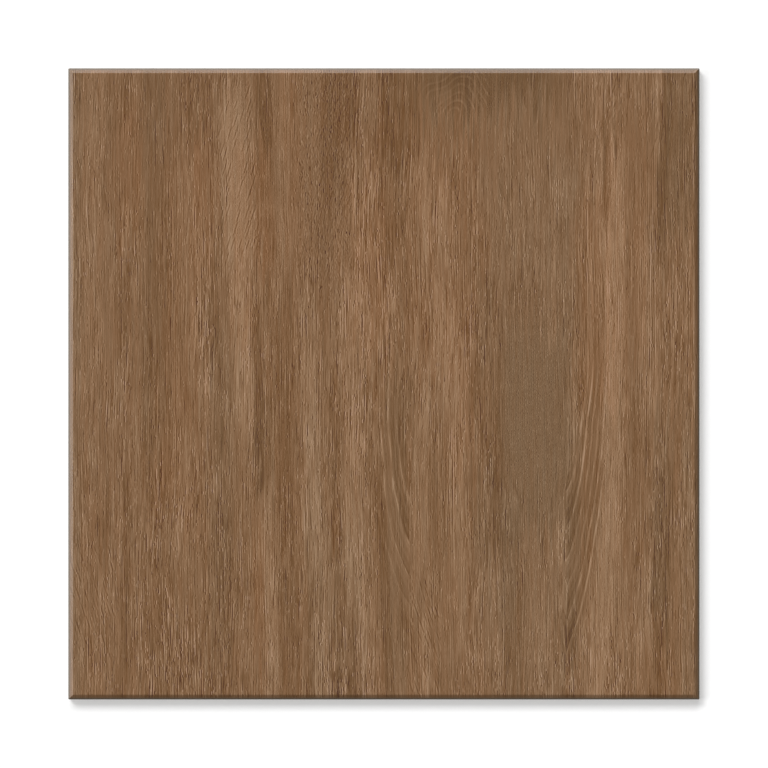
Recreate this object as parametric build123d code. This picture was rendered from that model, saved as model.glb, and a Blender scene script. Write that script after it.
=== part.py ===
from build123d import *
import os

# Square wood-look porcelain floor tile, pressed and fired as one piece: a flat slab with a bevelled
# edge round its glazed face and a waffle of shallow keying pockets in its back.
# Millimetres. The tile lies flat with its glazed face up, +Z is up and the printed grain runs along Y.
# The origin is the middle of the back, on the crests of its ribs.

# Slab
face_width = 450.0  # across the grain, edge to edge
face_length = 450.0  # along the grain, edge to edge
thickness = 9.0  # from the crests of the back's ribs to the glazed face

# Pressed edge round the glazed face
bevel_width = 3.6  # from the side of the tile to the flat of the face, seen from above
bevel_drop = 2.0  # from the face down to the top of the side
crease_radius = 2.5  # softens the line where the face turns into the bevel
arris_radius = 0.8  # rounds the top of the sides and the four upright corners
back_chamfer = 0.8  # small break along the bottom of the sides

# Keying pockets pressed into the back
pocket_mouth = 26.0  # square, at the crests of the ribs
pocket_corner = 2.5  # cut across the pocket's corners at its mouth, which keeps the ribs' crossings strong
pocket_depth = 0.8
pocket_draft = 40.0  # degrees that the pocket's walls lean inwards
rib_width = 4.0  # crest between two pockets
least_rim = 12.0  # plain border that the pockets always leave round the back


def edges_at(body, height):
    """The edges of a body that lie level at one height."""

    def is_level(edge):
        box = edge.bounding_box()
        return abs(box.min.Z - height) < 1e-6 and abs(box.max.Z - height) < 1e-6

    return body.edges().filter_by(is_level)


def slab():
    """The slab: flat back, upright sides and a softly bevelled edge that is mitred at the corners."""
    on_its_back = (Align.CENTER, Align.CENTER, Align.MIN)
    body = Box(face_width, face_length, thickness, align=on_its_back)
    glazed_face = body.faces().sort_by(Axis.Z)[-1]
    body = chamfer(glazed_face.edges(), bevel_width, bevel_drop, reference=glazed_face)
    body = chamfer(edges_at(body, 0), back_chamfer)
    body = fillet(edges_at(body, thickness), crease_radius)
    arrises = edges_at(body, thickness - bevel_drop)
    upright_corners = body.edges().filter_by(Axis.Z)
    return fillet(arrises + upright_corners, arris_radius)


def pockets_along(span):
    """How many pockets fit along one span. It is even, so that two ribs cross at the tile's middle."""
    half_field = span / 2 - least_rim + rib_width / 2
    return 2 * int(half_field // (pocket_mouth + rib_width))


def keying_pockets():
    """Every pocket of the back's waffle, as the material that the press leaves out."""
    pitch = pocket_mouth + rib_width
    square = Rectangle(pocket_mouth, pocket_mouth)
    mouth = chamfer(square.vertices(), pocket_corner)
    pocket = extrude(mouth, pocket_depth, dir=(0, 0, 1), taper=pocket_draft)
    places = GridLocations(pitch, pitch, pockets_along(face_width), pockets_along(face_length))
    return [place * pocket for place in places]


def porcelain_tile():
    """The whole tile as one fired piece."""
    return slab() - keying_pockets()


os.makedirs("parts", exist_ok=True)
export_step(porcelain_tile(), "parts/porcelain_tile.step")
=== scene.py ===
import math

import bmesh
import bpy
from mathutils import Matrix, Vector


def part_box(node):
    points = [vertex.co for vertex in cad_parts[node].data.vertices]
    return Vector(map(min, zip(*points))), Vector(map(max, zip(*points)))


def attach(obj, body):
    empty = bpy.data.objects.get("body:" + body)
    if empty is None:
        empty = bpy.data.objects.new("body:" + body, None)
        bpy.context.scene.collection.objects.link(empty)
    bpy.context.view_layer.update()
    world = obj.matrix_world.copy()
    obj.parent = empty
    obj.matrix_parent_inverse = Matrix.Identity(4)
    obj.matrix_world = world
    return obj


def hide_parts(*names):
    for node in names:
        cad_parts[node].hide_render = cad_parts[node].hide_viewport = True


# Looks of a square porcelain floor tile with a printed and glazed oak grain, seen straight from above.
# Lengths are in millimetres until they go to the scene, which is in metres. On the face, "across" counts
# from the tile's left side and "down" from its far side, along the grain.
MM = 0.001

TILE_NODE = "porcelain_tile"

# Photograph: a square picture, the tile's sides in its pixels, and a long lens straight above
PICTURE_SIDE = 768
TILE_LEFT, TILE_RIGHT = 68.3, 699.5
LENS = 200.0
SENSOR = 36.0
ARRIS_HEIGHT = 6.6  # of the tile's widest outline above the floor
FLOOR_GAP = 0.05  # keeps the floor just clear of the ribs that lie on it
FLOOR_REACH = 20000.0  # from the middle of the floor to each of its sides

# Relief of the grain on the flat of the face
GRAIN_COLUMNS = 588
GRAIN_ROWS = 146
CREASE_END = 4.25  # from the tile's side to where the crease of the bevel ends and the face is flat
GRAIN_MARGIN = 1.2  # flat ring between the crease of the bevel and the first groove
GRAIN_FADE = 4.0  # the grooves run out over this distance from the ring
GRAIN_DEPTH = 0.12
GROOVE_EDGES = (0.15, -0.25)  # of a fibre's own range, where its groove begins and where it is full

# Edges and surfaces of the pressed slab
WELD = 0.001  # points closer together than this are one, and ones this close to the face's height lie on it
TOLERANCE = 0.01  # for what counts as on the face or on a mitre
SHARP_ANGLE = math.radians(25)  # edges that turn more than this are not softened, and nor are the mitres
GLAZE_REACH = 2.6  # the glaze runs over the edge to this far below the face
GLAZE_SLOPE = 0.05  # and lies only where the surface looks up by more than this

# Print, glaze and painted shade on the bevel: how far below the face each change starts and ends, and what it
# comes to
FAINTER_FIBRES = (0.1, 0.3, 0.55)  # as a share of their contrast on the face
# Painted shade: the print is darker all round the bevel, in place of the shade on bevels turned from the
# light
PAINTED_BEVEL_SHADE = (0.1, 0.35, -0.5)  # in the same measure as TONES
THINNER_GLAZE = (0.9, 1.7, 1.0)  # as a share of the thin glaze's own colour
SMOOTHER_GLAZE = (GRAIN_DEPTH, 0.2, 0.35)  # as roughness
FACE_ROUGHNESS = 0.6

# Bands of the print, placed after the photograph. Each runs along the grain and has its middle
# across the face, how far that drifts on the way down, its width, where it starts and ends on the way
# down, and a strength. In TONES that is pale (+) or dark (-), and in HUES reddish (+) or olive (-).
TONES = (
    (17, 0, 13, -20, 230, 0.35),
    (115, 14, 17, 15, 255, 1.0),
    (130, 2, 6, 20, 125, 0.4),
    (86, 12, 18, 70, 250, 0.35),
    (154, 0, 9, -20, 150, 0.35),
    (172, 2, 12, 180, 335, 0.7),
    (178, 4, 10, 320, 470, 0.4),
    (140, 7, 8, 285, 450, 0.7),
    (211, -2, 13, 70, 150, 0.5),
    (203, 0, 19, 148, 218, 0.8),
    (202, 4, 13, 222, 390, 0.7),
    (211, 6, 13, 370, 470, 0.45),
    (225, 0, 14, 142, 195, 0.5),
    (251, 2, 8, 55, 140, 0.75),
    (266, 2, 6, 70, 140, 0.6),
    (269, 5, 13, 155, 255, 0.8),
    (276, 4, 12, 245, 410, 0.45),
    (252, 0, 16, 185, 370, 0.35),
    (262, 4, 20, 70, 155, 0.4),
    (262, 1, 5, 150, 220, 0.9),
    (280, 2, 7, 185, 285, 0.6),
    (253, 2, 6, 400, 470, 0.8),
    (304, 2, 8, 345, 450, 0.7),
    (345, 0, 8, 140, 190, 0.6),
    (372, -1, 5, 110, 240, 0.7),
    (366, -4, 11, 235, 305, 0.6),
    (383, 0, 6, 100, 240, 0.5),
    (390, 0, 13, 50, 245, 1.1),
    (388, -2, 14, 235, 335, 0.75),
    (386, -12, 16, 315, 470, 0.85),
    (378, 0, 5, -20, 165, 0.6),
    (412, 2, 14, 95, 255, 0.45),
    (413, 2, 6, 350, 440, 0.7),
    (421, 0, 6, -20, 75, 0.5),
    (445, 2, 5, 160, 235, 0.5),
    (212, 2, 8, 160, 215, 0.4),
    (360, 0, 8, 185, 290, 0.4),
    (352, 0, 6, 290, 350, 0.4),
    (336, 2, 16, 370, 435, 0.35),
    (83, 0, 15, 265, 335, 0.35),
    (401, 0, 25, 365, 435, 0.3),
    (47, 0, 7, 205, 300, 0.25),
    (10, 0, 10, -40, 22, -0.7),
    (37, 0, 14, -20, 45, -0.45),
    (40, 2, 10, 130, 210, -0.35),
    (42, -3, 6, 285, 470, -0.7),
    (61, 4, 17, -20, 230, -0.5),
    (57, 0, 9, 195, 305, -0.6),
    (57, 2, 8, 370, 470, -0.7),
    (89, 0, 27, -20, 65, -0.4),
    (103, 8, 10, 165, 285, -0.6),
    (138, 2, 12, -20, 58, -0.9),
    (133, 4, 6, 160, 300, -1.2),
    (139, 0, 9, 220, 300, -0.5),
    (190, -3, 17, -20, 95, -0.8),
    (184, -6, 12, 85, 175, -0.35),
    (202, 0, 10, -20, 50, -1.0),
    (231, 0, 20, -20, 70, -0.8),
    (232, 0, 16, 60, 135, -0.45),
    (247, 0, 8, -20, 75, -0.6),
    (247, -8, 5, 140, 230, -0.4),
    (268, 0, 36, -40, 32, -0.9),
    (259, 2, 6, 265, 355, -0.6),
    (297, 0, 6, 115, 165, -0.6),
    (315, 0, 66, -40, 27, -1.1),
    (358, 0, 5, -20, 45, -0.7),
    (384, 0, 5, 40, 105, -0.9),
    (429, -8, 8, -20, 140, -1.1),
    (440, -4, 15, -20, 110, -0.6),
    (153, 2, 12, 155, 330, -0.55),
    (157, 2, 14, 310, 470, -0.5),
    (173, 0, 6, 370, 470, -0.6),
    (221, 10, 8, 285, 470, -0.7),
    (234, 2, 10, 225, 280, -0.4),
    (237, 3, 6, 375, 430, -0.6),
    (332, 0, 84, 165, 340, -0.45),
    (306, 0, 9, 255, 335, -0.5),
    (313, 0, 24, 325, 470, -0.5),
    (190, 0, 8, 220, 335, -0.5),
    (405, 0, 8, 240, 310, -0.4),
    (358, 0, 7, 375, 470, -0.6),
    (425, -6, 14, 285, 470, -0.8),
    (113, -8, 22, 295, 470, -0.45),
    (27, 0, 10, 305, 345, -0.5),
    (68, 0, 10, 235, 470, -0.3),
    (197, 0, 15, 370, 470, -0.45),
    (206, 0, 8, 395, 470, -0.5),
)
HUES = (
    (139, 2, 14, 45, 145, 0.8),
    (150, 4, 30, 130, 330, 0.2),
    (158, 2, 16, -20, 130, 0.5),
    (250, 0, 90, 35, 220, 0.5),
    (390, 0, 15, 45, 245, 0.5),
    (123, 2, 16, 55, 200, 0.5),
    (201, 2, 12, 215, 300, 0.3),
    (97, 0, 16, 45, 145, 0.6),
    (44, 0, 18, 25, 130, 0.6),
    (77, 0, 36, 50, 330, 0.4),
    (406, 0, 13, 45, 195, 0.5),
    (136, 0, 9, 300, 425, 0.6),
    (331, 0, 44, 185, 335, -0.75),
    (332, 0, 62, 55, 470, -0.5),
    (300, 0, 100, -40, 45, -0.8),
    (313, 0, 12, 320, 405, -0.6),
    (358, 0, 12, 60, 430, -0.5),
    (296, 0, 14, 160, 400, -0.5),
    (438, -6, 24, -20, 120, -0.7),
    (423, -2, 14, 245, 400, -0.8),
    (61, 0, 16, -20, 285, -0.4),
    (139, 2, 14, 230, 330, -0.5),
    (371, 0, 28, 80, 240, 0.6),
    (217, 0, 40, 85, 200, 0.4),
    (288, 0, 36, 205, 285, 0.5),
    (234, 0, 14, 50, 470, -0.5),
    (109, 0, 16, 180, 420, -0.5),
    (196, 0, 30, 330, 470, -0.5),
    (175, 2, 12, 250, 470, -0.5),
    (445, 0, 16, 240, 470, -0.6),
    (2, 0, 14, -20, 470, -0.7),
)

# Where the oak's pores lean to the right (+) or to the left (-) on their way up
LEANING_PORES = (
    (119, 5, 26, 8, 150, 1.0),
    (188, 0, 30, 10, 150, 0.5),
    (387, 0, 11, 0, 30, 1.0),
    (418, 0, 8, 25, 60, 1.0),
    (254, 0, 22, 368, 460, -0.9),
    (17, 0, 34, 345, 415, -0.9),
)
# Where the fibres are short and curly, and where they are fine and even
CURLY_FIBRES = (
    (183, 0, 38, -10, 150, 1.0),
    (330, 0, 60, 90, 150, 0.4),
)
EVEN_FIBRES = (
    (331, 0, 46, 172, 295, 1.0),
    (331, 0, 46, 285, 435, 0.4),
    (300, 0, 36, -10, 34, 0.7),
    (119, 6, 19, 8, 130, 0.75),
    (387, 0, 16, 30, 400, 0.4),
    (148, 0, 26, 10, 150, 0.5),
    (150, 0, 20, 130, 470, 0.3),
    (8, 0, 22, -20, 470, 0.25),
    (440, -4, 16, -20, 110, 0.4),
)
# Where the fibres stand out more (+) or less (-) than elsewhere
FIBRE_CONTRAST = (
    (29, 0, 14, -20, 290, -0.35),
    (68, 0, 34, -20, 285, -0.28),
    (68, 0, 34, 290, 470, 0.3),
    (201, 0, 14, 85, 165, 0.65),
    (217, 0, 16, 45, 330, 0.45),
    (250, 0, 52, -20, 85, -0.3),
    (250, 0, 52, 285, 470, -0.3),
    (284, 0, 28, -20, 45, -0.4),
    (330, 0, 80, -20, 88, -0.5),
    (358, 0, 16, 290, 400, 0.3),
    (390, 0, 16, 405, 470, 0.6),
    (405, 0, 14, -20, 330, -0.35),
    (421, 0, 14, -20, 125, -0.3),
    (421, 0, 14, 365, 470, -0.25),
    (125, 0, 180, 408, 470, 0.25),
)
NO_BAND = (0, 0, 1, 0, 1, 0)
TIP_BEFORE, TIP_AFTER = 18, 12  # a band starts to run out this far before its end and is gone this far after
STREAK_CONTRAST = 1.3  # the tone of the bands is this much stronger than their list says
CLEAR_EDGES = 0.1  # softness of the edges of leaning and curly bands, as a share of their width
EVEN_EDGES = 0.28  # and of even ones

# Ring figures: growth rings that come along the grain and turn aside, as nested long ovals, until they break
# off along a fibre line. Each has the place of that line, the side of it that the rings are on, right (1) or
# left (-1), whether they run down (1) or up (-1), how far down the ovals have their middle, the half length
# of the first and of the last oval, and the rings' spacing along the line. Then come how many times longer
# than wide the ovals are, how far their middle lies beyond the line, so the rings meet it at a slant, how
# much that grows along the line, and the rings' strength. The last two rows make one arch.
RING_FIGURES = (
    (355.0, 1, 1, 212, 92, 225, 25.0, 7.0, -2.6, 0.062, 0.9),
    (243.5, -1, 1, 245, 74, 146, 24.0, 4.0, 9.5, 0.0, 0.95),
    (274.0, 1, -1, 34, 8, 34, 4.5, 1.0, 0.0, 0.0, 0.45),
    (274.0, -1, -1, 34, 8, 34, 4.5, 1.2, 0.0, 0.0, 0.25),
)
RING_BENDS = (30.0, 60.0)  # width and length of the bends in the rings
RING_STRAY = 20.0  # range within which the bends carry a ring away from its oval
RING_FRAY = 3.0  # range within which single fibres end the rings before or after the line
PALE_LINE = (1.4, 0.6, 2.6)  # a ring's pale line: where it begins before the ring, where it is full, its tone
DARK_WEDGE = (10.0, 1.4, 0.3, -1.7)  # the wedge before it: where it begins and ends, its tone there and here
WEDGE_REACH = (14.0, 1.0, 0.3)  # from the fibre line, where the wedge is weakest and full, and how weak
LINE_GAPS = (5.0, 20.0, 0.5, 1.4)  # stretches of a pale line: width, length, weakest and strongest share
GAP_REACH = 0.2  # how far from its middle their random pattern goes to reach those shares
FINE_RINGS = (3, 0.35)  # finer rings between two rings: how many, and their tone
WEAK_RING, STRONG_RING = 0.55, 1.25  # every fourth ring is the weakest, and the ones halfway the strongest
INNER_FADE = 40  # how far inside the first oval the figure starts to show
OUTER_FADE = (25, 15)  # how far outside the last oval it is gone, and how far inside that starts
START_FADE = (-45.0, 20.0)  # along the line from the ovals' middle, where it starts to show and is full
SIDE_FADE = (32.0, 24.0)  # to the side of the line, where it is gone and where that starts

# Fibres of the print. Crisp ones have their width, spacing and length, and soft ones their width and length.
# Last comes the contrast, in the same measure as TONES. Real fibres and pores are 0.1 to 0.3 mm wide, which
# is too fine to show in the render, so they are drawn 0.75 mm wide or wider, and the stipple as coarse.
CRISP_FIBRES = ((0.75, 1.5, 3.0, 3.6), (0.75, 1.6, 9.0, 2.5), (0.75, 1.8, 50.0, 1.9))
SOFT_FIBRES = ((2.6, 36.0, 2.3), (1.3, 14.0, 2.8), (6.0, 90.0, 0.9))
LAYER_SHIFT = 7.3  # each layer of fibres is moved on by this from the one before
SOFT_SHIFT = 3.1  # and the soft ones by this from the crisp ones
SEAM = -0.45  # of the seams beside a crisp fibre, as a share of its own tone
TAPER = (0.55, 0.3)  # as shares of a fibre's length from its middle, where its tip ends and starts

# Slivers have their width, spacing and length, and the share of places that have one
PORES = (0.75, 2.4, 20.0, 0.3)
PORE_CONTRAST = -2.7
HAIRS = (0.75, 2.8, 80.0, 0.3)
HAIR_CONTRAST = 1.9
LEANING = (1.0, 4.4, 11.0, 0.8)
LEANING_CONTRAST = -2.6
LEAN = 0.3  # how far such a pore goes aside on its length
SLIVER_POWER = 0.4  # the lower it is, the more alike the slivers are in strength

# Stipple of the even zones and curls of the curly ones: width, spacing and length of the marks
STIPPLE = (0.75, 1.3, 1.1)
STIPPLE_CONTRAST = (0.4, 2.2)  # everywhere, and as much more where the print is even
CURLS = (0.75, 1.4, 3.6)
CURL_BENDS = (3.0, 5.0)
CURL_SWAY = 2.4
PALEST_CURL = 0.35
CURL_CONTRAST = 4.2

# How the grain wanders: the bends' width and length, the range within which they carry a fibre, their shift
GRAIN_BENDS = ((60.0, 170.0, 5.0, 2.6), (24.0, 70.0, 2.5, 5.8))
RAGGED_FIBRES = (2.0, 45.0)  # width and length of the fibres that make the edges and tips of the bands ragged
RAGGED_EDGES, RAGGED_TIPS = 3.5, 90.0  # range within which they do
PATCHES = (12.0, 60.0)  # width and length of the patches where the fibres are weaker or stronger
PATCH_STRENGTH = (0.6, 1.65)  # in the weakest and in the strongest
PATCH_REACH = 0.25  # how far from its middle their random pattern goes to reach those
CALM_RINGS, CALM_CURLS, CALMEST = 0.6, 0.7, 0.2  # how far rings and curls calm the fibres, and what is left
TINTS = (2.2, 50.0)  # width and length of fibres that have a hue of their own
TINT_CONTRAST = 1.6

# Colours of the print, from its darkest to its palest tone, and of the thin glaze at the arris. A hue of 1
# turns the print's colours by this much from the middle and makes them this much fuller.
DARKEST, PALEST = -3.75, 4.25
OAK_COLOURS = ("#482714", "#5f401e", "#77583b", "#8e7053", "#a08168")
THIN_GLAZE = "#5a4e40"
HUE_TURN, HUE_MIDDLE, HUE_FILL = -0.004, 0.499, 0.06

# Bare body. Its specks are 0.2 to 0.5 mm in real porcelain and are drawn coarser, so that they show.
SPECK = 1.2
SPECK_DARK, SPECK_PALE = (0.35, "#97866f"), (0.65, "#b3a48e")
# The kiln wash on the crests is also a painted highlight, which sets the crests off from the shaded pockets
WASH_AND_HIGHLIGHT_COLOUR = "#ddd6c9"
WASH_AND_HIGHLIGHT_HEIGHT = 0.25  # the kiln wash is gone at this height above the crests
WASH_AND_HIGHLIGHT_PATCH = 14.0  # size of the patches where it is worn
WASH_AND_HIGHLIGHT_SHARE = (0.25, 0.85)  # what is left of it where it is worn most and least
WASH_AND_HIGHLIGHT_RANGE = (0.3, 0.6)  # between which the patches' random pattern goes from most to least

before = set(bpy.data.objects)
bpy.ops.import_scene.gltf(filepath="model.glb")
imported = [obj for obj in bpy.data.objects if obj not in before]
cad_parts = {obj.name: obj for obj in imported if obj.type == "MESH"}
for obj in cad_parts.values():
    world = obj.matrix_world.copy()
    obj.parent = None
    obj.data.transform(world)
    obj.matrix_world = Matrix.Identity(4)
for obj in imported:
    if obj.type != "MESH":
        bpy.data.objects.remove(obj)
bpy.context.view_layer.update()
tile_low, tile_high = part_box(TILE_NODE)
tile_size = (tile_high - tile_low) / MM


def linear(hex_colour):
    """A colour given as an sRGB hex number, as the linear red, green, blue and alpha that nodes take."""
    channels = [int(hex_colour[at:at + 2], 16) / 255 for at in (1, 3, 5)]
    return [c / 12.92 if c <= 0.04045 else ((c + 0.055) / 1.055) ** 2.4 for c in channels] + [1.0]


def add(tree, kind, inputs=(), **settings):
    """Adds one node with its settings. Its inputs are values, sockets, or nodes whose first output is meant.
    They go by name or number: a range has its value, the span that comes in and the span that goes out as 0
    to 4, and for vectors as 6 to 10."""
    node = tree.nodes.new(kind)
    for name, value in settings.items():
        setattr(node, name, value)
    for key, value in dict(inputs).items():
        if isinstance(value, bpy.types.Node):
            value = value.outputs[0]
        if isinstance(value, bpy.types.NodeSocket):
            tree.links.new(value, node.inputs[key])
        else:
            node.inputs[key].default_value = value
    return node


def place_on_tile(tree, position):
    """A point's place in millimetres: across from the left side, down from the far side, up from the back."""
    scaled = add(tree, "ShaderNodeVectorMath", {0: position, "Scale": 1 / MM}, operation="SCALE")
    parts = add(tree, "ShaderNodeSeparateXYZ", {0: scaled})
    across = add(tree, "ShaderNodeMath", {0: parts.outputs[0], 1: tile_size.x / 2}, operation="ADD")
    down = add(tree, "ShaderNodeMath", {0: tile_size.y / 2, 1: parts.outputs[1]}, operation="SUBTRACT")
    return across, down, parts.outputs[2]


def drawn_out(tree, across, down, width, length, shift=0.0):
    """The place on the face counted in fibre widths across and fibre lengths down. Patterns have different
    shifts, so that no two are alike."""
    u = add(tree, "ShaderNodeMath", {0: across, 1: 1 / width, 2: shift}, operation="MULTIPLY_ADD")
    v = add(tree, "ShaderNodeMath", {0: down, 1: 1 / length, 2: shift}, operation="MULTIPLY_ADD")
    return add(tree, "ShaderNodeCombineXYZ", {0: u, 1: v})


def soft_fibres(tree, across, down, width, length, shift=0.0):
    """Soft-edged fibres along the grain, from -0.5 to 0.5, though few go beyond half of that."""
    place = drawn_out(tree, across, down, width, length, shift)
    noise = {"Vector": place, "Scale": 1.0, "Detail": 1.0}
    noise = add(tree, "ShaderNodeTexNoise", noise, noise_dimensions="2D")
    return add(tree, "ShaderNodeMath", {0: noise, 1: 0.5}, operation="SUBTRACT")


def along_grain(tree, across, down):
    """The place across the face, bent so that it keeps to one fibre as the grain wanders on its way down."""
    flow = across
    for width, length, sway, shift in GRAIN_BENDS:
        bend = soft_fibres(tree, across, down, width, length, shift)
        flow = add(tree, "ShaderNodeMath", {0: bend, 1: sway, 2: flow}, operation="MULTIPLY_ADD")
    return flow


def scattered_lines(tree, across, down, width, spacing, length, shift=0.0):
    """Short lines along the grain, scattered at random. The first result is their shape: 1 along the middle,
    a seam below 0 on both sides, and 0 beyond and at the tips. The second has each line's own random
    numbers."""
    place = drawn_out(tree, across, down, spacing, length, shift)
    cells = add(tree, "ShaderNodeTexVoronoi", {"Vector": place, "Scale": 1.0}, voronoi_dimensions="2D")
    away = {0: place, 1: cells.outputs["Position"]}
    away = add(tree, "ShaderNodeVectorMath", away, operation="SUBTRACT")
    away = add(tree, "ShaderNodeVectorMath", {0: away}, operation="ABSOLUTE")
    away = add(tree, "ShaderNodeSeparateXYZ", {0: away})
    beside = {0: away.outputs[0], 1: math.pi * spacing / width}
    beside = add(tree, "ShaderNodeMath", beside, operation="MULTIPLY")
    beside = add(tree, "ShaderNodeMath", {0: beside, 1: 1.5 * math.pi}, operation="MINIMUM")
    wave = add(tree, "ShaderNodeMath", {0: beside}, operation="COSINE")
    wave = add(tree, "ShaderNodeMath", {0: wave, 1: SEAM}, operation="MAXIMUM")
    tips = {0: away.outputs[1], 1: TAPER[0], 2: TAPER[1]}
    tips = add(tree, "ShaderNodeMapRange", tips, interpolation_type="SMOOTHSTEP")
    shape = add(tree, "ShaderNodeMath", {0: wave, 1: tips}, operation="MULTIPLY")
    return shape, add(tree, "ShaderNodeSeparateXYZ", {0: cells.outputs["Color"]})


def crisp_fibres(tree, across, down, width, spacing, length, shift=0.0, rarity=3.0):
    """Crisp pale and dark fibres, from -1 to 1, each set off from its neighbours by a seam on both sides.
    The higher the rarity, an odd number, the fewer of them stand out."""
    shape, own = scattered_lines(tree, across, down, width, spacing, length, shift)
    tone = add(tree, "ShaderNodeMath", {0: own, 1: 2.0, 2: -1.0}, operation="MULTIPLY_ADD")
    tone = add(tree, "ShaderNodeMath", {0: tone, 1: rarity}, operation="POWER")
    return add(tree, "ShaderNodeMath", {0: shape, 1: tone}, operation="MULTIPLY")


def slivers(tree, across, down, width, spacing, length, share, shift=0.0):
    """Crisp slivers of one tone, such as pores, up to 1. Only a share of the places have one, and most of
    those are nearly as strong as the strongest."""
    shape, own = scattered_lines(tree, across, down, width, spacing, length, shift)
    kept = add(tree, "ShaderNodeMapRange", {0: own.outputs[1], 1: 1 - share, 2: 1.0, 3: 0.0, 4: 1.0})
    kept = add(tree, "ShaderNodeMath", {0: kept, 1: SLIVER_POWER}, operation="POWER")
    return add(tree, "ShaderNodeMath", {0: shape, 1: kept}, operation="MULTIPLY")


def bands(tree, across, down, rows, softness=0.2):
    """Adds up the bands of a list, whose edges are soft over a share of their width. Three bands share each
    vector node."""
    at_across = add(tree, "ShaderNodeCombineXYZ", {0: across, 1: across, 2: across})
    at_down = add(tree, "ShaderNodeCombineXYZ", {0: down, 1: down, 2: down})
    soft = {"data_type": "FLOAT_VECTOR", "interpolation_type": "SMOOTHSTEP"}
    total = None
    for first in range(0, len(rows), 3):
        trio = (rows[first:first + 3] + (NO_BAND, NO_BAND))[:3]
        middle, drift, width, start, end, strength = zip(*trio)
        lean = [-d / (e - s) for d, s, e in zip(drift, start, end)]
        lean_start = [-m - slope * s for m, slope, s in zip(middle, lean, start)]
        away = {0: at_down, 1: lean, 2: lean_start}
        away = add(tree, "ShaderNodeVectorMath", away, operation="MULTIPLY_ADD")
        away = add(tree, "ShaderNodeVectorMath", {0: at_across, 1: away}, operation="ADD")
        away = add(tree, "ShaderNodeVectorMath", {0: away}, operation="ABSOLUTE")
        edge = {6: away, 7: [w * (0.5 + softness) for w in width], 8: [w * (0.5 - softness) for w in width]}
        body = add(tree, "ShaderNodeMapRange", edge, **soft).outputs[1]
        halfway = [(s + e) / 2 for s, e in zip(start, end)]
        beyond = add(tree, "ShaderNodeVectorMath", {0: at_down, 1: halfway}, operation="SUBTRACT")
        beyond = add(tree, "ShaderNodeVectorMath", {0: beyond}, operation="ABSOLUTE")
        reach = [(e - s) / 2 for s, e in zip(start, end)]
        tips = {6: beyond, 7: [r + TIP_AFTER for r in reach], 8: [r - TIP_BEFORE for r in reach]}
        length = add(tree, "ShaderNodeMapRange", tips, **soft).outputs[1]
        shown = add(tree, "ShaderNodeVectorMath", {0: body, 1: length}, operation="MULTIPLY")
        part = add(tree, "ShaderNodeVectorMath", {0: shown, 1: strength}, operation="DOT_PRODUCT").outputs[1]
        total = add(tree, "ShaderNodeMath", {0: part, 1: total}, operation="ADD") if total else part
    return total


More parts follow.
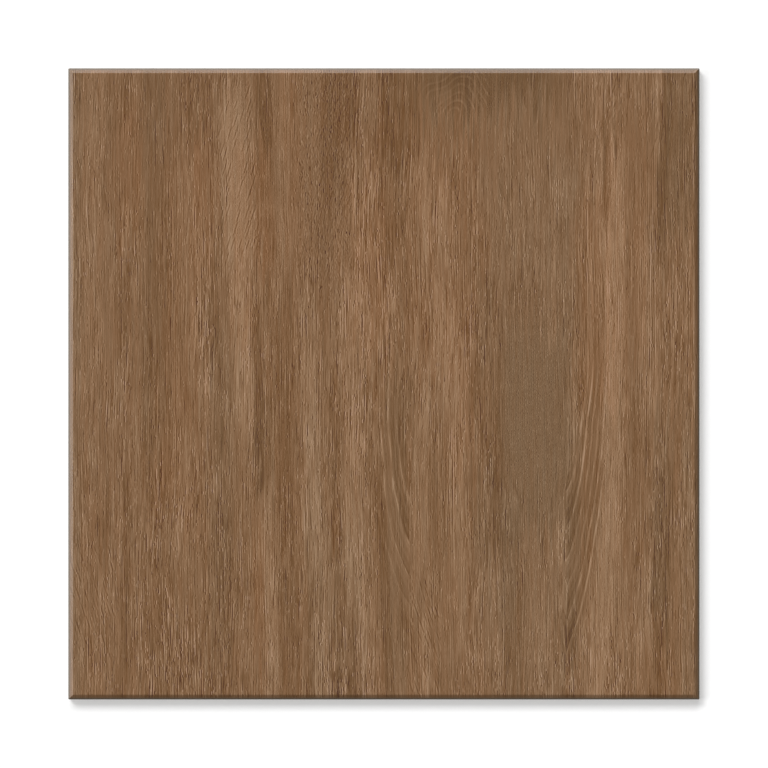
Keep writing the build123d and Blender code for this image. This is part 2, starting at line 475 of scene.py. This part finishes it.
def growth_rings(tree, across, down, ragged):
    """Tone of the ring figures' lines, each a pale line with a dark wedge before it where it breaks off, and
    how much a point belongs to such a figure, from 0 to 1."""
    tone, figure = None, None
    frayed = add(tree, "ShaderNodeMath", {0: ragged, 1: RING_FRAY, 2: across}, operation="MULTIPLY_ADD")
    uneven = soft_fibres(tree, across, down, *RING_BENDS, shift=6.6)
    gap_width, gap_length, weakest, strongest = LINE_GAPS
    gaps = soft_fibres(tree, across, down, gap_width, gap_length, shift=8.1)
    gaps = {0: gaps, 1: -GAP_REACH, 2: GAP_REACH, 3: weakest, 4: strongest}
    gaps = add(tree, "ShaderNodeMapRange", gaps)
    for line, side, heading, middle, first, last, spacing, stretch, offset, growth, strength in RING_FIGURES:
        # How far the point is from the fibre line, and how far along it
        beside = add(tree, "ShaderNodeMath", {0: across, 1: side, 2: -side * line}, operation="MULTIPLY_ADD")
        ahead = {0: down, 1: heading, 2: -heading * middle}
        ahead = add(tree, "ShaderNodeMath", ahead, operation="MULTIPLY_ADD")
        past = add(tree, "ShaderNodeMath", {0: ahead, 1: 0.0}, operation="MAXIMUM")
        beyond = add(tree, "ShaderNodeMath", {0: past, 1: growth, 2: offset}, operation="MULTIPLY_ADD")
        reach = add(tree, "ShaderNodeMath", {0: beside, 1: beyond}, operation="ADD")
        reach = add(tree, "ShaderNodeMath", {0: reach, 1: stretch}, operation="MULTIPLY")

        # Which oval the point lies on, how much closer the ovals are there, and how far off the next ring is
        place = add(tree, "ShaderNodeCombineXYZ", {0: reach, 1: past})
        radius = add(tree, "ShaderNodeVectorMath", {0: place}, operation="LENGTH").outputs[1]
        crowded = add(tree, "ShaderNodeVectorMath", {0: place, 1: (stretch, 1, 0)}, operation="MULTIPLY")
        crowded = add(tree, "ShaderNodeVectorMath", {0: crowded}, operation="LENGTH").outputs[1]
        crowded = add(tree, "ShaderNodeMath", {0: crowded, 1: radius}, operation="DIVIDE")
        ring = add(tree, "ShaderNodeMath", {0: uneven, 1: RING_STRAY, 2: radius}, operation="MULTIPLY_ADD")
        ring = add(tree, "ShaderNodeMath", {0: ring, 1: first}, operation="SUBTRACT")
        ring = add(tree, "ShaderNodeMath", {0: ring, 1: spacing}, operation="DIVIDE")
        which = add(tree, "ShaderNodeMath", {0: ring}, operation="CEIL")
        to_next = add(tree, "ShaderNodeMath", {0: which, 1: ring}, operation="SUBTRACT")
        to_next = add(tree, "ShaderNodeMath", {0: to_next, 1: spacing}, operation="MULTIPLY")
        to_next = add(tree, "ShaderNodeMath", {0: to_next, 1: crowded}, operation="DIVIDE")

        # Pale line, dark wedge and finer rings, each ring with a strength of its own
        begins, full, tone_there = PALE_LINE
        pale = add(tree, "ShaderNodeMapRange", {0: to_next, 1: begins, 2: full, 3: 0.0, 4: tone_there})
        pale = add(tree, "ShaderNodeMath", {0: pale, 1: gaps}, operation="MULTIPLY")
        begins, ends, tone_there, tone_here = DARK_WEDGE
        dark = {0: to_next, 1: begins, 2: ends, 3: tone_there, 4: tone_here}
        dark = add(tree, "ShaderNodeMapRange", dark)
        farthest, full, least = WEDGE_REACH
        broken_off = {0: beside, 1: farthest, 2: full, 3: least, 4: 1.0}
        broken_off = add(tree, "ShaderNodeMapRange", broken_off)
        lines = add(tree, "ShaderNodeMath", {0: dark, 1: broken_off, 2: pale}, operation="MULTIPLY_ADD")
        between, tone_between = FINE_RINGS
        finer = add(tree, "ShaderNodeMath", {0: ring, 1: between * math.tau}, operation="MULTIPLY")
        finer = add(tree, "ShaderNodeMath", {0: finer}, operation="SINE")
        lines = add(tree, "ShaderNodeMath", {0: finer, 1: tone_between, 2: lines}, operation="MULTIPLY_ADD")
        fourth = {0: which, 1: math.pi / 2, 2: -math.pi / 2}
        fourth = add(tree, "ShaderNodeMath", fourth, operation="MULTIPLY_ADD")
        fourth = add(tree, "ShaderNodeMath", {0: fourth}, operation="COSINE")
        own = {0: fourth, 1: -1.0, 2: 1.0, 3: WEAK_RING * strength, 4: STRONG_RING * strength}
        own = add(tree, "ShaderNodeMapRange", own)
        lines = add(tree, "ShaderNodeMath", {0: lines, 1: own}, operation="MULTIPLY")

        # Where the figure shows: on its side of the frayed line, and fading out all round
        within = {0: frayed, 1: side, 2: -side * line}
        within = add(tree, "ShaderNodeMath", within, operation="MULTIPLY_ADD")
        within = add(tree, "ShaderNodeMath", {0: within, 1: 0.0}, operation="GREATER_THAN")
        inner = {0: radius, 1: first - INNER_FADE, 2: first}
        outer = {0: radius, 1: last + OUTER_FADE[0], 2: last - OUTER_FADE[1]}
        begun = {0: ahead, 1: START_FADE[0], 2: START_FADE[1]}
        aside = {0: beside, 1: SIDE_FADE[0], 2: SIDE_FADE[1]}
        part = within
        for fade in (inner, outer, begun, aside):
            fade = add(tree, "ShaderNodeMapRange", fade, interpolation_type="SMOOTHSTEP")
            part = add(tree, "ShaderNodeMath", {0: part, 1: fade}, operation="MULTIPLY")
        shown = add(tree, "ShaderNodeMath", {0: lines, 1: part}, operation="MULTIPLY")
        tone = add(tree, "ShaderNodeMath", {0: shown, 1: tone}, operation="ADD") if tone else shown
        figure = add(tree, "ShaderNodeMath", {0: part, 1: figure}, operation="ADD") if figure else part
    return tone, figure


def glazed_oak_print():
    """Glazed porcelain: a digital print of brown oak under a thin satin glaze, which is matt on the textured
    face and smoother on the bevel. The eye gets warm brown streaks, hair-fine fibres and pores, and a soft
    whitish sheen where the edge turns to the light."""
    material = bpy.data.materials.new("satin_glaze_over_oak_print")
    material.use_nodes = True
    tree = material.node_tree
    tree.nodes.clear()
    position = add(tree, "ShaderNodeTexCoord").outputs["Object"]
    across, down, up = place_on_tile(tree, position)

    # Streaks with ragged edges, where single fibres of one tone run on into the next
    flow = along_grain(tree, across, down)
    ragged = soft_fibres(tree, flow, down, *RAGGED_FIBRES)
    ragged_across = {0: ragged, 1: RAGGED_EDGES, 2: across}
    ragged_across = add(tree, "ShaderNodeMath", ragged_across, operation="MULTIPLY_ADD")
    ragged_down = {0: ragged, 1: RAGGED_TIPS, 2: down}
    ragged_down = add(tree, "ShaderNodeMath", ragged_down, operation="MULTIPLY_ADD")
    tone = bands(tree, ragged_across, ragged_down, TONES)
    tone = add(tree, "ShaderNodeMath", {0: tone, 1: STREAK_CONTRAST}, operation="MULTIPLY")
    hue = bands(tree, ragged_across, ragged_down, HUES)
    leaning = bands(tree, ragged_across, ragged_down, LEANING_PORES, CLEAR_EDGES)
    curly = bands(tree, ragged_across, ragged_down, CURLY_FIBRES, CLEAR_EDGES)
    even = bands(tree, ragged_across, ragged_down, EVEN_FIBRES, EVEN_EDGES)
    local = bands(tree, ragged_across, ragged_down, FIBRE_CONTRAST)
    rings, figure = growth_rings(tree, across, down, ragged)
    tone = add(tree, "ShaderNodeMath", {0: tone, 1: rings}, operation="ADD")

    # Fibres, pores and hairs
    grain = None
    for layer, (width, spacing, length, contrast) in enumerate(CRISP_FIBRES):
        fibres = crisp_fibres(tree, flow, down, width, spacing, length, LAYER_SHIFT * layer)
        inputs = {0: fibres, 1: contrast, 2: grain} if grain else {0: fibres, 1: contrast}
        grain = add(tree, "ShaderNodeMath", inputs, operation="MULTIPLY_ADD" if grain else "MULTIPLY")
    for layer, (width, length, contrast) in enumerate(SOFT_FIBRES):
        fibres = soft_fibres(tree, flow, down, width, length, SOFT_SHIFT + LAYER_SHIFT * layer)
        grain = add(tree, "ShaderNodeMath", {0: fibres, 1: contrast, 2: grain}, operation="MULTIPLY_ADD")
    pores = slivers(tree, flow, down, *PORES, shift=1.7)
    grain = add(tree, "ShaderNodeMath", {0: pores, 1: PORE_CONTRAST, 2: grain}, operation="MULTIPLY_ADD")
    hairs = slivers(tree, flow, down, *HAIRS, shift=8.9)
    grain = add(tree, "ShaderNodeMath", {0: hairs, 1: HAIR_CONTRAST, 2: grain}, operation="MULTIPLY_ADD")

    # They are weaker where the print is even or curly, among the rings and on the bevel
    calm = add(tree, "ShaderNodeMath", {0: figure, 1: CALM_RINGS}, operation="MULTIPLY")
    calm = add(tree, "ShaderNodeMath", {0: even, 1: calm}, operation="MAXIMUM")
    calm = add(tree, "ShaderNodeMath", {0: curly, 1: CALM_CURLS, 2: calm}, operation="MULTIPLY_ADD")
    calm = add(tree, "ShaderNodeMapRange", {0: calm, 3: 1.0, 4: CALMEST})
    patches = soft_fibres(tree, flow, down, *PATCHES, shift=9.4)
    weakest, strongest = PATCH_STRENGTH
    strength = {0: patches, 1: -PATCH_REACH, 2: PATCH_REACH, 3: weakest, 4: strongest}
    strength = add(tree, "ShaderNodeMapRange", strength)
    strength = add(tree, "ShaderNodeMath", {0: calm, 1: strength}, operation="MULTIPLY")
    strength = add(tree, "ShaderNodeMath", {0: strength, 1: local, 2: strength}, operation="MULTIPLY_ADD")
    starts, ends, share = FAINTER_FIBRES
    on_bevel = {0: up, 1: tile_size.z - ends, 2: tile_size.z - starts, 3: share, 4: 1.0}
    on_bevel = add(tree, "ShaderNodeMapRange", on_bevel)
    strength = add(tree, "ShaderNodeMath", {0: strength, 1: on_bevel}, operation="MULTIPLY")
    tone = add(tree, "ShaderNodeMath", {0: grain, 1: strength, 2: tone}, operation="MULTIPLY_ADD")

    # Stipple of the even zones, and curls
    stipple = crisp_fibres(tree, across, down, *STIPPLE, shift=2.2, rarity=1.0)
    everywhere, more = STIPPLE_CONTRAST
    shown = add(tree, "ShaderNodeMath", {0: even, 1: more, 2: everywhere}, operation="MULTIPLY_ADD")
    tone = add(tree, "ShaderNodeMath", {0: stipple, 1: shown, 2: tone}, operation="MULTIPLY_ADD")
    sway = soft_fibres(tree, across, down, *CURL_BENDS, shift=5.5)
    swayed = add(tree, "ShaderNodeMath", {0: sway, 1: CURL_SWAY, 2: across}, operation="MULTIPLY_ADD")
    curls = crisp_fibres(tree, swayed, down, *CURLS, shift=6.1, rarity=1.0)
    curls = add(tree, "ShaderNodeMath", {0: curls, 1: PALEST_CURL}, operation="MINIMUM")
    shown = add(tree, "ShaderNodeMath", {0: curly, 1: CURL_CONTRAST}, operation="MULTIPLY")
    tone = add(tree, "ShaderNodeMath", {0: curls, 1: shown, 2: tone}, operation="MULTIPLY_ADD")

    # Dark pores that lean to the right or to the left, in some of the streaks
    for sign in (1.0, -1.0):
        tilted = add(tree, "ShaderNodeMath", {0: down, 1: sign * LEAN, 2: flow}, operation="MULTIPLY_ADD")
        pores = slivers(tree, tilted, down, *LEANING, shift=4.4 * sign)
        shown = add(tree, "ShaderNodeMath", {0: leaning, 1: sign * LEANING_CONTRAST}, operation="MULTIPLY")
        shown = add(tree, "ShaderNodeMath", {0: shown, 1: 0.0}, operation="MINIMUM")
        tone = add(tree, "ShaderNodeMath", {0: pores, 1: shown, 2: tone}, operation="MULTIPLY_ADD")

    # Colours of the tones, turned a little by the hue
    # Painted shade: the print is darker on the bevel, in place of the shade on bevels turned from the light
    starts, ends, darker = PAINTED_BEVEL_SHADE
    painted_bevel_shade = {0: up, 1: tile_size.z - ends, 2: tile_size.z - starts, 3: darker, 4: 0.0}
    painted_bevel_shade = add(tree, "ShaderNodeMapRange", painted_bevel_shade)
    tone = add(tree, "ShaderNodeMath", {0: tone, 1: painted_bevel_shade}, operation="ADD")
    on_ramp = add(tree, "ShaderNodeMapRange", {0: tone, 1: DARKEST, 2: PALEST})
    ramp = add(tree, "ShaderNodeValToRGB", {0: on_ramp})
    ramp.color_ramp.elements[0].color = linear(OAK_COLOURS[0])
    ramp.color_ramp.elements[1].color = linear(OAK_COLOURS[-1])
    for step, oak_colour in enumerate(OAK_COLOURS[1:-1], 1):
        ramp.color_ramp.elements.new(step / (len(OAK_COLOURS) - 1)).color = linear(oak_colour)
    tints = soft_fibres(tree, flow, down, *TINTS, shift=4.9)
    hue = add(tree, "ShaderNodeMath", {0: tints, 1: TINT_CONTRAST, 2: hue}, operation="MULTIPLY_ADD")
    turned = add(tree, "ShaderNodeMath", {0: hue, 1: HUE_TURN, 2: HUE_MIDDLE}, operation="MULTIPLY_ADD")
    fuller = add(tree, "ShaderNodeMath", {0: hue, 1: HUE_FILL, 2: 1.0}, operation="MULTIPLY_ADD")
    colour = add(tree, "ShaderNodeHueSaturation", {"Hue": turned, "Saturation": fuller, "Color": ramp})

    # Towards the arris the print runs out and the glaze is thin and greyish over the body
    starts, ends, share = THINNER_GLAZE
    thin = {0: up, 1: tile_size.z - starts, 2: tile_size.z - ends, 3: 0.0, 4: share}
    thin = add(tree, "ShaderNodeMapRange", thin, interpolation_type="SMOOTHSTEP")
    colour = {0: thin, 6: colour, 7: linear(THIN_GLAZE)}
    colour = add(tree, "ShaderNodeMix", colour, data_type="RGBA").outputs[2]

    # The glaze is matt on the textured face and smoother on the bevel
    starts, ends, smooth = SMOOTHER_GLAZE
    roughness = {0: up, 1: tile_size.z - ends, 2: tile_size.z - starts, 3: smooth, 4: FACE_ROUGHNESS}
    roughness = add(tree, "ShaderNodeMapRange", roughness)
    glaze = add(tree, "ShaderNodeBsdfPrincipled", {"Base Color": colour, "Roughness": roughness, "IOR": 1.5})
    add(tree, "ShaderNodeOutputMaterial", {"Surface": glaze})
    return material


def bare_porcelain():
    """Unglazed porcelain stoneware, pressed and fired: a dense, chalky greyish beige with fine specks. The
    crests of the back's ribs have the thin whitish kiln wash that keeps tiles from sticking in the kiln, and
    it is also a painted highlight that sets them off from the shaded pockets between them."""
    material = bpy.data.materials.new("bare_porcelain_body")
    material.use_nodes = True
    tree = material.node_tree
    tree.nodes.clear()
    position = add(tree, "ShaderNodeTexCoord").outputs["Object"]
    specks = {"Vector": position, "Scale": 1 / (SPECK * MM), "Detail": 3.0}
    ramp = add(tree, "ShaderNodeValToRGB", {0: add(tree, "ShaderNodeTexNoise", specks)})
    for stop, (at, speck_colour) in zip(ramp.color_ramp.elements, (SPECK_DARK, SPECK_PALE)):
        stop.position = at
        stop.color = linear(speck_colour)
    up = place_on_tile(tree, position)[2]
    # Kiln wash on the crests, worn in patches, which is also a painted highlight against the shaded pockets
    crest = add(tree, "ShaderNodeMapRange", {0: up, 1: WASH_AND_HIGHLIGHT_HEIGHT, 2: 0.0, 3: 0.0, 4: 1.0})
    worn = {"Vector": position, "Scale": 1 / (WASH_AND_HIGHLIGHT_PATCH * MM), "Detail": 4.0}
    worn = add(tree, "ShaderNodeTexNoise", worn)
    worn = {0: worn, 1: WASH_AND_HIGHLIGHT_RANGE[0], 2: WASH_AND_HIGHLIGHT_RANGE[1], 3: WASH_AND_HIGHLIGHT_SHARE[0], 4: WASH_AND_HIGHLIGHT_SHARE[1]}
    worn = add(tree, "ShaderNodeMapRange", worn)
    wash = add(tree, "ShaderNodeMath", {0: crest, 1: worn}, operation="MULTIPLY")
    colour = {0: wash, 6: ramp, 7: linear(WASH_AND_HIGHLIGHT_COLOUR)}
    colour = add(tree, "ShaderNodeMix", colour, data_type="RGBA").outputs[2]
    body = add(tree, "ShaderNodeBsdfPrincipled", {"Base Color": colour, "Roughness": 0.85, "IOR": 1.5})
    add(tree, "ShaderNodeOutputMaterial", {"Surface": body})
    return material


def light_table():
    """White acrylic sheet of a light table, lit softly from below, which keeps the tile's shadow pale. It has
    no underside, so that the tile's back can be looked at from below."""
    material = bpy.data.materials.new("white_acrylic_light_table")
    material.use_nodes = True
    tree = material.node_tree
    tree.nodes.clear()
    colours = {"Base Color": linear("#cbcbcb"), "Emission Color": linear("#ffffff")}
    finish = {"Roughness": 0.9, "Specular IOR Level": 0.0, "Emission Strength": 0.34}
    sheet = add(tree, "ShaderNodeBsdfPrincipled", colours | finish)
    underside = add(tree, "ShaderNodeNewGeometry").outputs["Backfacing"]
    seen = {0: underside, 1: sheet, 2: add(tree, "ShaderNodeBsdfTransparent")}
    add(tree, "ShaderNodeOutputMaterial", {"Surface": add(tree, "ShaderNodeMixShader", seen)})
    return material


def lay_in_grain_face(shape):
    """Changes the flat of the glazed face for a fine grid that can carry the relief of the grain."""
    top = tile_high.z
    flat = [face for face in shape.faces if all(abs(v.co.z - top) < WELD * MM for v in face.verts)]
    bmesh.ops.delete(shape, geom=flat, context="FACES_KEEP_BOUNDARY")
    corners = {(v.co.x > 0, v.co.y > 0): v for edge in shape.edges if edge.is_boundary for v in edge.verts}
    reach = corners[True, True].co - Vector((GRAIN_MARGIN, GRAIN_MARGIN, 0)) * MM
    columns = [(2 * at / GRAIN_COLUMNS - 1) * reach.x for at in range(GRAIN_COLUMNS + 1)]
    rows = [(2 * at / GRAIN_ROWS - 1) * reach.y for at in range(GRAIN_ROWS + 1)]
    grid = [[shape.verts.new((x, y, top)) for x in columns] for y in rows]
    for near, far in zip(grid, grid[1:]):
        for at in range(GRAIN_COLUMNS):
            shape.faces.new((near[at], near[at + 1], far[at + 1], far[at]))
    left_near, right_near = corners[False, False], corners[True, False]
    left_far, right_far = corners[False, True], corners[True, True]
    shape.faces.new([left_near, right_near] + grid[0][::-1])
    shape.faces.new([right_near, right_far] + [row[-1] for row in grid[::-1]])
    shape.faces.new([right_far, left_far] + grid[-1])
    shape.faces.new([left_far, left_near] + [row[0] for row in grid])


def grain_relief():
    """Shallow grooves of the grain in the glazed face, sunk along the same fibres that the print shows."""
    tree = bpy.data.node_groups.new("grain_relief", "GeometryNodeTree")
    tree.interface.new_socket("Geometry", in_out="INPUT", socket_type="NodeSocketGeometry")
    tree.interface.new_socket("Geometry", in_out="OUTPUT", socket_type="NodeSocketGeometry")
    pressed = add(tree, "NodeGroupInput")
    across, down, up = place_on_tile(tree, add(tree, "GeometryNodeInputPosition"))
    flow = along_grain(tree, across, down)
    fibres = soft_fibres(tree, flow, down, *SOFT_FIBRES[0][:2], shift=SOFT_SHIFT)
    grooves = {0: fibres, 1: GROOVE_EDGES[0], 2: GROOVE_EDGES[1]}
    grooves = add(tree, "ShaderNodeMapRange", grooves, interpolation_type="SMOOTHSTEP")
    right = add(tree, "ShaderNodeMath", {0: tile_size.x, 1: across}, operation="SUBTRACT")
    near = add(tree, "ShaderNodeMath", {0: tile_size.y, 1: down}, operation="SUBTRACT")
    inside = add(tree, "ShaderNodeMath", {0: across, 1: right}, operation="MINIMUM")
    inside = add(tree, "ShaderNodeMath", {0: inside, 1: down}, operation="MINIMUM")
    inside = add(tree, "ShaderNodeMath", {0: inside, 1: near}, operation="MINIMUM")
    rim = CREASE_END + GRAIN_MARGIN
    fade = add(tree, "ShaderNodeMapRange", {0: inside, 1: rim, 2: rim + GRAIN_FADE})
    sunk = add(tree, "ShaderNodeMath", {0: grooves, 1: fade}, operation="MULTIPLY")
    sunk = add(tree, "ShaderNodeMath", {0: sunk, 1: -GRAIN_DEPTH * MM}, operation="MULTIPLY")
    offset = add(tree, "ShaderNodeCombineXYZ", {2: sunk})
    on_face = add(tree, "ShaderNodeMath", {0: up, 1: tile_size.z - TOLERANCE}, operation="GREATER_THAN")
    sinking = {"Geometry": pressed, "Selection": on_face, "Offset": offset}
    add(tree, "NodeGroupOutput", {0: add(tree, "GeometryNodeSetPosition", sinking)})
    return tree


def dressed_tile():
    """The tile as it looks: the pressed slab with the grain sunk into its glazed face."""
    mesh = bpy.data.meshes.new("wood_look_tile")
    shape = bmesh.new()
    shape.from_mesh(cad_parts[TILE_NODE].data)
    bmesh.ops.remove_doubles(shape, verts=shape.verts, dist=WELD * MM)
    lay_in_grain_face(shape)
    for edge in shape.edges:
        mitred = all(abs(abs(v.co.x) - abs(v.co.y)) < TOLERANCE * MM for v in edge.verts)
        edge.smooth = edge.calc_face_angle(0.0) < SHARP_ANGLE and not mitred
    shape.to_mesh(mesh)
    shape.free()
    # The stored normals of the slab don't fit the new face
    mesh.attributes.remove(mesh.attributes["custom_normal"])
    piece = bpy.data.objects.new("wood_look_tile", mesh)
    bpy.context.scene.collection.objects.link(piece)
    mesh.materials.clear()
    mesh.materials.append(glazed_oak_print())
    mesh.materials.append(bare_porcelain())
    side_top = tile_high.z - GLAZE_REACH * MM
    for polygon in mesh.polygons:
        glazed = polygon.center.z > side_top and polygon.normal.z > GLAZE_SLOPE
        polygon.material_index = 0 if glazed else 1
        polygon.use_smooth = True
    piece.modifiers.new("grain_relief", "NODES").node_group = grain_relief()
    flat_shading = piece.modifiers.new("flats_stay_flat", "WEIGHTED_NORMAL")
    flat_shading.keep_sharp = True
    return piece


tile = dressed_tile()
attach(tile, "root")
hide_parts(TILE_NODE)

# Floor
floor_mesh = bpy.data.meshes.new("floor")
floor_shape = bmesh.new()
bmesh.ops.create_grid(floor_shape, x_segments=1, y_segments=1, size=FLOOR_REACH * MM)
floor_shape.to_mesh(floor_mesh)
floor_shape.free()
floor = bpy.data.objects.new("floor", floor_mesh)
bpy.context.scene.collection.objects.link(floor)
floor.location.z = tile_low.z - FLOOR_GAP * MM
floor_mesh.materials.append(light_table())


def sun(name, azimuth, elevation, spread, strength):
    """A far, soft lamp. Azimuth counts from +X towards +Y, and spread is how wide it looks, in degrees."""
    lamp = bpy.data.lights.new(name, "SUN")
    lamp.energy = strength
    lamp.angle = math.radians(spread)
    light = bpy.data.objects.new(name, lamp)
    bpy.context.scene.collection.objects.link(light)
    turn, tilt = math.radians(azimuth), math.radians(elevation)
    towards = Vector((math.cos(turn) * math.cos(tilt), math.sin(turn) * math.cos(tilt), math.sin(tilt)))
    light.rotation_mode = "QUATERNION"
    light.rotation_quaternion = towards.to_track_quat("Z", "Y")
    return light


# The key's glare is cut, as a polarising filter does it. The two others give the bevels their sheen.
key = sun("key", azimuth=127, elevation=41, spread=30, strength=3.05)
key.visible_glossy = False
sun("left_sheen", azimuth=180, elevation=36, spread=22, strength=1.0)
sun("far_sheen", azimuth=90, elevation=36, spread=22, strength=1.25)
world = bpy.data.worlds.new("studio")
world.use_nodes = True
world.node_tree.nodes["Background"].inputs["Color"].default_value = (1.0, 1.0, 1.0, 1.0)
world.node_tree.nodes["Background"].inputs["Strength"].default_value = 0.19
bpy.context.scene.world = world

# Camera straight above, as far off as the long lens needs to frame the picture
camera_data = bpy.data.cameras.new("camera")
camera_data.lens = LENS
camera_data.sensor_width = SENSOR
camera = bpy.data.objects.new("camera", camera_data)
bpy.context.scene.collection.objects.link(camera)
pixel = tile_size.x / (TILE_RIGHT - TILE_LEFT)
picture_width = pixel * PICTURE_SIDE
off_centre = (PICTURE_SIDE / 2 - (TILE_LEFT + TILE_RIGHT) / 2) * pixel
camera.location = Vector((off_centre, -off_centre, ARRIS_HEIGHT + picture_width * LENS / SENSOR)) * MM
bpy.context.scene.camera = camera

bpy.context.scene.view_settings.view_transform = "Standard"
